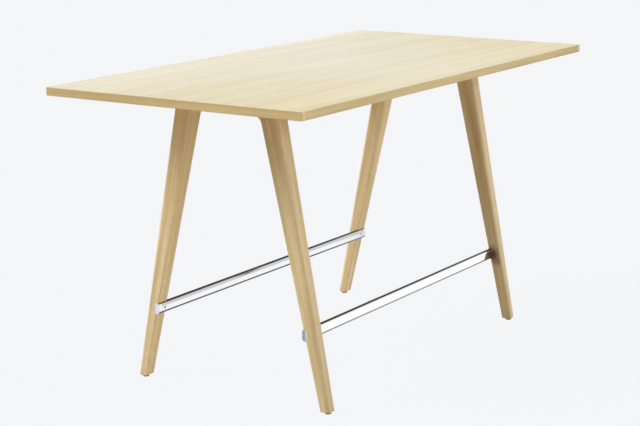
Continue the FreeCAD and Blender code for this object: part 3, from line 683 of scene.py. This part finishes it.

# %% [markdown]
# ## What only some metal pieces have
#
# Small functions dress a metal. Painted reflections darken the chromed tubes and caps where they
# round off above and below, and paint the rear tube greyer in its upper half. A cap has a dark
# seam where it meets the tube and a satin end, and on the front caps' inner side a painted
# reflection darkens that end. A stud has its thread, with painted shade in its grooves. Each
# function changes
# the look it is given: a tint, a roughness, a height and the height's scale.

# %% Dresses for tubes, caps and studs
_, rail_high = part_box("foot_rail_front")
TUBE_END = round(rail_high[0], 5)
SEAM_WIDTH, SEAM_GREY = 0.0009, colour(70, 70, 72)
REFLECTION_GREY = colour(112, 112, 115)
EDGE_BELOW, EDGE_ABOVE = (0.02, 0.2), (0.6, 0.85)  # how steeply the face looks down or up
UPPER_HALF = (0.266, 0.269)
UPPER_HALF_PAINTED_REFLECTION = (0.66, 0.655, 0.645, 1.0)
END_ROUGHNESS, END_TINT, END_DARK_REFLECTION_INSIDE = 0.36, colour(206, 206, 213), colour(158, 158, 168)
INNER_SIDE = (-0.314, -0.302)
FACES_OUTWARD = (0.3, 0.8)
GROOVE_PAINTED_SHADE, THREAD_DEPTH = colour(74, 72, 70), 0.0006


# Painted reflection: the chrome is tinted grey where it faces steeply up or down.
def painted_dark_reflections(w, look):
    upward = w.facing()[2]
    below = w.step(w.times(upward, -1.0), *EDGE_BELOW)
    look["tint"] = w.mix(w.plus(below, w.step(upward, *EDGE_ABOVE)), look["tint"], REFLECTION_GREY)


# Painted reflection: the rear tube's upper half is multiplied greyer.
def rail_painted_reflections(w, place, look):
    _, y, z = w.split(place)
    upper_rear_reflection = w.times(w.step(z, *UPPER_HALF), w.math("GREATER_THAN", y, 0.0))
    look["tint"] = w.mix(upper_rear_reflection, look["tint"], UPPER_HALF_PAINTED_REFLECTION, blend="MULTIPLY")
    painted_dark_reflections(w, look)


# Painted reflections: darker rounded edges, and a darker end on the front caps' inner side.
def cap_look_with_painted_reflections(w, place, look):
    painted_dark_reflections(w, look)
    x, y, _ = w.split(place)
    in_seam = w.math("LESS_THAN", w.size(x), TUBE_END + SEAM_WIDTH)
    dark_reflection_side = w.times(w.step(y, *INNER_SIDE), w.math("LESS_THAN", y, 0.0))
    outward = w.step(w.size(w.facing()[0]), *FACES_OUTWARD)
    look["tint"] = w.mix(in_seam, look["tint"], SEAM_GREY)
    look["tint"] = w.mix(outward, look["tint"], w.mix(dark_reflection_side, END_TINT, END_DARK_REFLECTION_INSIDE))
    look["rough"] = w.blend(outward, look["rough"], END_ROUGHNESS)


def thread_look(w, place, look):
    thread = use_group(w, THREAD, Vector=place, Axis=(GLIDE_X, GLIDE_Y, 0.0))
    # Painted shade: the thread's grooves are tinted dark grey.
    look["tint"] = w.mix(thread["Groove"], look["tint"], GROOVE_PAINTED_SHADE)
    look["height"], look["scale"] = thread["Height"], THREAD_DEPTH


print("dresses for tubes, caps and studs ready")

# %% [markdown]
# ## Chrome, zinc and steel
#
# Every metal is the handled group under a tint that its mottle mixes from two tones, and then its
# dress if it has one. The fasteners share one zinc and one plain steel.

# %% Metals
EVEN, MOTTLED = (1.0, 1.0, 1.0), (8.0, 8.0, 8.0)


def metal(name, bright, dark, clean, dull, scratch, stretch, dress=None):
    material, w, shader, place = new_material(name, metallic=1.0)
    handled = use_group(w, METAL, Vector=place, Stretch=stretch, Clean=clean, Dull=dull)
    look = {"tint": w.mix(handled["Mottle"], bright, dark), "rough": handled["Roughness"],
            "height": handled["Height"], "scale": scratch}
    if dress:
        dress(w, place, look)
    w.feed(shader.inputs["Base Color"], look["tint"])
    w.feed(shader.inputs["Roughness"], look["rough"])
    raise_bumps(w, shader, look["height"], look["scale"])
    return material


ZINC_TINTS = (colour(198, 200, 204), colour(158, 160, 164))
PLATED = {"clean": 0.28, "dull": 0.42, "scratch": 0.00002, "stretch": MOTTLED}
ZINC = metal("zinc_plate", *ZINC_TINTS, **PLATED)
STEEL = metal("plain_steel", colour(176, 172, 168), colour(128, 122, 116),
              clean=0.38, dull=0.55, scratch=0.00003, stretch=MOTTLED)
MATERIALS["foot_rail"] = metal(
    "bright_chrome", colour(244, 244, 246), colour(236, 236, 239),
    clean=0.03, dull=0.12, scratch=0.000002, stretch=ALONG_THE_TUBE, dress=rail_painted_reflections)
MATERIALS["rail_cap"] = metal(
    "chrome_cap", colour(240, 240, 242), colour(230, 230, 233),
    clean=0.04, dull=0.14, scratch=0.000002, stretch=EVEN, dress=cap_look_with_painted_reflections)
MATERIALS["glide_stud"] = metal("threaded_zinc", *ZINC_TINTS, **PLATED, dress=thread_look)
for slot in ("beam_bolts", "beam_washers", "top_screws", "rail_screws", "top_inserts",
             "rail_inserts", "glide_insert"):
    MATERIALS[slot] = ZINC
for slot in ("beam_nuts", "rail_spacers"):
    MATERIALS[slot] = STEEL
print(f"{len(MATERIALS)} finishes so far")

# %% [markdown]
# ## Powder coat and mouldings
#
# The beams are powder coated in black, which cures to a fine orange-peel skin. Their end plugs and
# the glides' caps are moulded, with a finer skin of their own. One function makes all three: two
# tints mixed by the smudges, a fine noise as bump, and some dust on what stands on the floor.

# %% Coatings
DUST_ON_PLASTIC = colour(150, 142, 130)
LOW_DUST = 0.02
WORN_PATCHES, WORN_SHARE = (0.4, 0.75), 0.6
SKIN_VARIATION = 0.14


def coating(name, base, worn, grain_scale, grain_height, roughness, dusty=0.0):
    """Powder coat or moulded plastic: a fine skin, slightly paler where it has been handled."""
    material, w, shader, place = new_material(name)
    skin = w.noise(place, grain_scale, detail=2, roughness=0.5)
    wear = use_group(w, WEAR, Vector=place, Dust_Height=LOW_DUST)
    tint = w.mix(w.times(w.step(wear["Smudge"], *WORN_PATCHES), WORN_SHARE), base, worn)
    tint = w.mix(w.times(wear["Dust"], dusty), tint, DUST_ON_PLASTIC)
    w.feed(shader.inputs["Base Color"], tint)
    w.feed(shader.inputs["Roughness"],
           w.math("MULTIPLY_ADD", wear["Smudge"], SKIN_VARIATION, roughness - SKIN_VARIATION / 2))
    raise_bumps(w, shader, skin, grain_height)
    return material


MATERIALS["beam"] = coating(
    "black_powder_coat", colour(38, 38, 40), colour(52, 52, 54),
    grain_scale=900.0, grain_height=0.00006, roughness=0.46)
MATERIALS["beam_plug"] = coating(
    "black_moulding", colour(30, 30, 31), colour(44, 44, 45),
    grain_scale=1600.0, grain_height=0.00003, roughness=0.55)
MATERIALS["glide_cap"] = coating(
    "brown_nylon", colour(126, 110, 86), colour(142, 126, 100),
    grain_scale=1400.0, grain_height=0.00004, roughness=0.5, dusty=0.5)
print(f"{len(MATERIALS)} finishes")

# %% [markdown]
# ## Giving each solid its finish
#
# Every solid already has a material slot of its own, named in the record that came with it. The
# finish is put in that slot, so the solid's mesh and place stay as they are.

# %% Assign the finishes
slot_of = {part["node"]: part["material_slot"] for part in frame["record"]["subparts"]}
for name, solid in nodes.items():
    for place in solid.material_slots:
        place.material = MATERIALS[slot_of[name]]
print(f"{len(nodes)} solids finished")

# %% [markdown]
# ## Ribs for the glide caps
#
# The moulded cap of a levelling glide has fine upright ribs round its wall, which stiffen it and
# give fingers a hold. They repeat at equal turns, which is work for Geometry Nodes: a circle of
# points, a small slab on each point turned to face outwards, then one joined mesh. The tree's
# inputs are the rib's sizes and how many there are.

# %% Rib tree
RIB_INPUTS = (
    ("Count", "Int", 36), ("Radius", "Float", 0.0109), ("Width", "Float", 0.0008),
    ("Depth", "Float", 0.0005), ("Low", "Float", 0.0014), ("High", "Float", 0.0066))


def make_rib_tree():
    tree = bpy.data.node_groups.new("Ribs Round A Cap", "GeometryNodeTree")
    for label, kind, start in RIB_INPUTS:
        socket = tree.interface.new_socket(label, in_out="INPUT", socket_type=f"NodeSocket{kind}")
        socket.default_value = start
    tree.interface.new_socket("Finish", in_out="INPUT", socket_type="NodeSocketMaterial")
    tree.interface.new_socket("Geometry", in_out="OUTPUT", socket_type="NodeSocketGeometry")
    w = Wiring(tree)
    given = w.node("NodeGroupInput").outputs
    ring = w.node("GeometryNodeMeshCircle",
                  {"Vertices": given["Count"], "Radius": given["Radius"]}).outputs["Mesh"]
    tall = w.minus(given["High"], given["Low"])
    middle = w.times(w.plus(given["High"], given["Low"]), 0.5)
    slab = w.node("GeometryNodeMeshCube",
                  {"Size": w.join(given["Depth"], given["Width"], tall)}).outputs["Mesh"]
    place = w.node("GeometryNodeInputPosition").outputs[0]
    turned = w.node("FunctionNodeAlignRotationToVector", {"Vector": place}, axis="X").outputs[0]
    ribs = w.node("GeometryNodeInstanceOnPoints",
                  {"Points": ring, "Instance": slab, "Rotation": turned}).outputs["Instances"]
    raised = w.node("GeometryNodeTransform",
                    {"Geometry": ribs, "Translation": w.join(0.0, 0.0, middle)})
    joined = w.node("GeometryNodeRealizeInstances", {"Geometry": raised.outputs["Geometry"]})
    finished = w.node("GeometryNodeSetMaterial",
                      {"Geometry": joined.outputs["Geometry"], "Material": given["Finish"]})
    w.feed(w.node("NodeGroupOutput").inputs["Geometry"], finished.outputs["Geometry"])
    return tree


RIB_TREE = make_rib_tree()
print(f"rib tree of {len(RIB_TREE.nodes)} nodes")

# %% [markdown]
# ## Ribs on each cap
#
# A modifier with the tree grows the ribs on an empty mesh, and the result is kept as a plain mesh,
# because the export drops what isn't. The ring is made round the origin and then moved under its
# corner in the mesh itself, so the object stays unturned at the origin. Each cap gets its own
# ribs, because each cap goes down with its own glide.

# %% Add the ribs
def grown(name, tree, values):
    """A plain mesh made by a tree: the modifier's inputs are set first, and it is gone after."""
    seed = bpy.data.objects.new(f"{name}_seed", bpy.data.meshes.new(f"{name}_seed"))
    bpy.context.scene.collection.objects.link(seed)
    modifier = seed.modifiers.new("tree", "NODES")
    modifier.node_group = tree
    for item in tree.interface.items_tree:
        if item.item_type == "SOCKET" and item.in_out == "INPUT" and item.name in values:
            modifier[item.identifier] = values[item.name]
    evaluated = seed.evaluated_get(bpy.context.evaluated_depsgraph_get())
    mesh = bpy.data.meshes.new_from_object(evaluated)
    mesh.name = name
    bpy.data.objects.remove(seed)
    return mesh


def add_ribs(cap_name):
    low, high = (Vector(corner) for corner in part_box(cap_name))
    middle = (low + high) / 2
    mesh = grown(f"{cap_name}_ribs", RIB_TREE, {"Finish": MATERIALS["glide_cap"]})
    mesh.transform(Matrix.Translation((middle.x, middle.y, 0.0)))
    ribs = bpy.data.objects.new(mesh.name, mesh)
    bpy.context.scene.collection.objects.link(ribs)
    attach(ribs, body_of[cap_name])
    return ribs


bodies = frame["record"]["behaviour"]["bodies"]
body_of = {node: body for body, members in bodies.items() for node in members}
for end in ("left", "right"):
    for side in ("front", "rear"):
        cap_name = f"glide_cap_{end}_{side}"
        made = add_ribs(cap_name)
        print(made.name, len(made.data.polygons), "faces on", body_of[cap_name])

# %% [markdown]
# ## The studio
#
# The light comes from large panels round the table, not from lamps near it, so the world itself
# makes it. A panel is a patch of the sky between two elevations that fades to both sides of its
# middle. The key is a bright one behind and to the left, high enough to reach under the top on
# the near legs, so each leg's end face is darker near the top. Weaker ones in front and to the
# right light the long faces, and almost nothing comes from the camera's own side.
#
# Mirrors see another room than the one that lights the wood: to a reflected ray the sky is evenly
# white near the horizon and nearly black higher up, which draws the dark line along the chrome.

# %% Sky panels
BACKDROP = colour(245, 246, 248)
PANELS = (  # compass direction, lower and upper elevation in degrees, and strength
    (135, 25, 60, 11.7), (135, 0, 25, 2.1), (315, 0, 25, 4.6), (315, 25, 60, 4.1),
    (270, 0, 25, 2.8))
PANEL_REACH = math.radians(45)
PANEL_EDGE = math.radians(2)
MIRRORED_WHITE_BELOW, MIRRORED_BLACK_ABOVE = math.radians(20), math.radians(32)
MIRRORED_WHITE, MIRRORED_BLACK = 1.0, 0.06


def make_panel():
    group, w, given, out = new_group(
        "Sky Panel",
        [("Compass", "Float", None), ("Elevation", "Float", None), ("Middle", "Float", 0.0),
         ("Low", "Float", 0.0), ("High", "Float", 1.0), ("Strength", "Float", 1.0)],
        [("Light", "Float", None)])
    turn = w.math("WRAP", w.minus(given["Compass"], given["Middle"]), math.pi, -math.pi)
    side = w.minus(1.0, w.math("DIVIDE", w.size(turn), PANEL_REACH), clamp=True)
    above_low = w.minus(given["Elevation"], given["Low"])
    below_high = w.minus(given["High"], given["Elevation"])
    rise = w.math("DIVIDE", above_low, PANEL_EDGE, clamp=True)
    fall = w.math("DIVIDE", below_high, PANEL_EDGE, clamp=True)
    w.feed(out["Light"], w.times(w.times(side, given["Strength"]), w.times(rise, fall)))
    return group


def make_world():
    world = bpy.data.worlds.new("studio")
    world.use_nodes = True
    w = Wiring(world.node_tree)
    world.node_tree.nodes.clear()
    x, y, z = w.split(w.node("ShaderNodeTexCoord").outputs["Generated"])
    compass, elevation = w.math("ARCTAN2", y, x), w.math("ARCSINE", z)
    panel, light = make_panel(), 0.0
    for middle, low, high, strength in PANELS:
        shown = use_group(w, panel, Compass=compass, Elevation=elevation,
                          Middle=math.radians(middle), Low=math.radians(low),
                          High=math.radians(high), Strength=strength)
        light = w.plus(light, shown["Light"])
    high_up = w.step(elevation, MIRRORED_WHITE_BELOW, MIRRORED_BLACK_ABOVE)
    mirrored = w.blend(high_up, MIRRORED_WHITE, MIRRORED_BLACK)
    path = w.node("ShaderNodeLightPath").outputs
    lit = w.node("ShaderNodeBackground",
                 {"Color": (1.0, 1.0, 1.0, 1.0),
                  "Strength": w.blend(path["Is Glossy Ray"], light, mirrored)})
    plain = w.node("ShaderNodeBackground", {"Color": BACKDROP, "Strength": 1.0})
    mixed = w.node("ShaderNodeMixShader")
    w.feed_all(mixed.inputs, (path["Is Camera Ray"], lit.outputs[0], plain.outputs[0]))
    w.feed(w.node("ShaderNodeOutputWorld").inputs["Surface"], mixed.outputs[0])
    bpy.context.scene.world = world


make_world()
print(f"{len(PANELS)} panels of light")

# %% [markdown]
# ## The floor
#
# A plain pale floor runs past the horizon. To the camera it is one even tone with only a trace of
# shadow, as on a white sweep. To light bouncing about it is a real matt floor, which lights the
# legs from below and is darker under the table. The chrome sees a floor of its own: brightest
# beside the table, less bright under it and past its right end, and dark in a strip under the
# middle.

# %% Floor
FLOOR_RADIUS, FLOOR_SIDES = 60.0, 48
FLOOR_SHADOW = 0.02
FLOOR_MATT = (0.70, 0.585, 0.43, 1.0)
# how bright the floor is in the chrome, then where each change starts and ends, in metres
DARK_STRIP, LEFT_AND_MIDDLE, PAST_THE_RIGHT_END, BESIDE_THE_TABLE = 0.15, 1.15, 0.88, 1.3
DARK_STRIP_WIDTH, DARK_STRIP_LENGTH = (0.26, 0.12), (1.3, 0.9)
RIGHT_END_FADE, BESIDE_FADE = (1.35, 1.75), (0.45, 0.7)


def mirrored_floor(w):
    """How bright each place of the floor is in the chrome."""
    x, y, _ = w.split(w.node("ShaderNodeTexCoord").outputs["Object"])
    out_y = w.size(y)
    strip = w.times(w.step(out_y, *DARK_STRIP_WIDTH), w.step(w.size(x), *DARK_STRIP_LENGTH))
    middle = w.blend(w.step(x, *RIGHT_END_FADE), LEFT_AND_MIDDLE, PAST_THE_RIGHT_END)
    bright = w.blend(w.step(out_y, *BESIDE_FADE), middle, BESIDE_THE_TABLE)
    return w.blend(strip, bright, DARK_STRIP)


def make_floor_material():
    material = bpy.data.materials.new("pale_floor")
    material.use_nodes = True
    w = Wiring(material.node_tree)
    material.node_tree.nodes.clear()
    even = w.node("ShaderNodeEmission", {"Color": BACKDROP, "Strength": 1.0})
    matt = w.node("ShaderNodeBsdfDiffuse", {"Color": FLOOR_MATT})
    mirrored = w.node("ShaderNodeEmission", {"Color": BACKDROP, "Strength": mirrored_floor(w)})
    path = w.node("ShaderNodeLightPath").outputs
    seen, mixed = w.node("ShaderNodeMixShader"), w.node("ShaderNodeMixShader")
    to_camera = w.times(path["Is Camera Ray"], 1.0 - FLOOR_SHADOW)
    w.feed_all(seen.inputs, (to_camera, matt.outputs[0], even.outputs[0]))
    w.feed_all(mixed.inputs, (path["Is Glossy Ray"], seen.outputs[0], mirrored.outputs[0]))
    w.feed(w.node("ShaderNodeOutputMaterial").inputs["Surface"], mixed.outputs[0])
    return material


def make_floor():
    mesh = bpy.data.meshes.new("floor")
    turns = (math.tau * side / FLOOR_SIDES for side in range(FLOOR_SIDES))
    corners = [(FLOOR_RADIUS * math.cos(turn), FLOOR_RADIUS * math.sin(turn), 0.0)
               for turn in turns]
    mesh.from_pydata(corners, [], [tuple(range(FLOOR_SIDES))])
    mesh.materials.append(make_floor_material())
    floor = bpy.data.objects.new("floor", mesh)
    bpy.context.scene.collection.objects.link(floor)
    return floor


make_floor()
bpy.context.scene.view_settings.view_transform = "Standard"
print("floor ready")

# %% [markdown]
# ## The camera
#
# A long lens a little above the top, looking along the table from its front left corner, so the
# long side, the end and the top all show. Its place and turn are plain numbers, measured once.

# %% Camera
CAMERA_PLACE = (-5.15669, -3.21321, 1.84529)
VIEW_YAW, VIEW_PITCH, VIEW_ROLL = (math.radians(turn) for turn in (32.528, 12.414, -0.105))
FOCAL_LENGTH_IN_PIXELS, PICTURE_WIDTH_IN_PIXELS = 1694.64, 640
SENSOR_WIDTH = 36.0
SEEN_FROM, SEEN_TO = 0.1, 200.0


def make_camera():
    flat = math.cos(VIEW_PITCH)
    forward = Vector((flat * math.cos(VIEW_YAW), flat * math.sin(VIEW_YAW),
                      -math.sin(VIEW_PITCH)))
    level = Vector((math.sin(VIEW_YAW), -math.cos(VIEW_YAW), 0.0))
    up = level.cross(forward)
    right = level * math.cos(VIEW_ROLL) + up * math.sin(VIEW_ROLL)
    top = up * math.cos(VIEW_ROLL) - level * math.sin(VIEW_ROLL)
    lens = bpy.data.cameras.new("camera")
    lens.sensor_width = SENSOR_WIDTH
    lens.lens = FOCAL_LENGTH_IN_PIXELS / PICTURE_WIDTH_IN_PIXELS * SENSOR_WIDTH
    lens.clip_start, lens.clip_end = SEEN_FROM, SEEN_TO
    camera = bpy.data.objects.new("camera", lens)
    bpy.context.scene.collection.objects.link(camera)
    turned = Matrix((right, top, -forward)).transposed().to_4x4()
    camera.matrix_world = Matrix.Translation(CAMERA_PLACE) @ turned
    bpy.context.scene.camera = camera


make_camera()
print("camera ready")
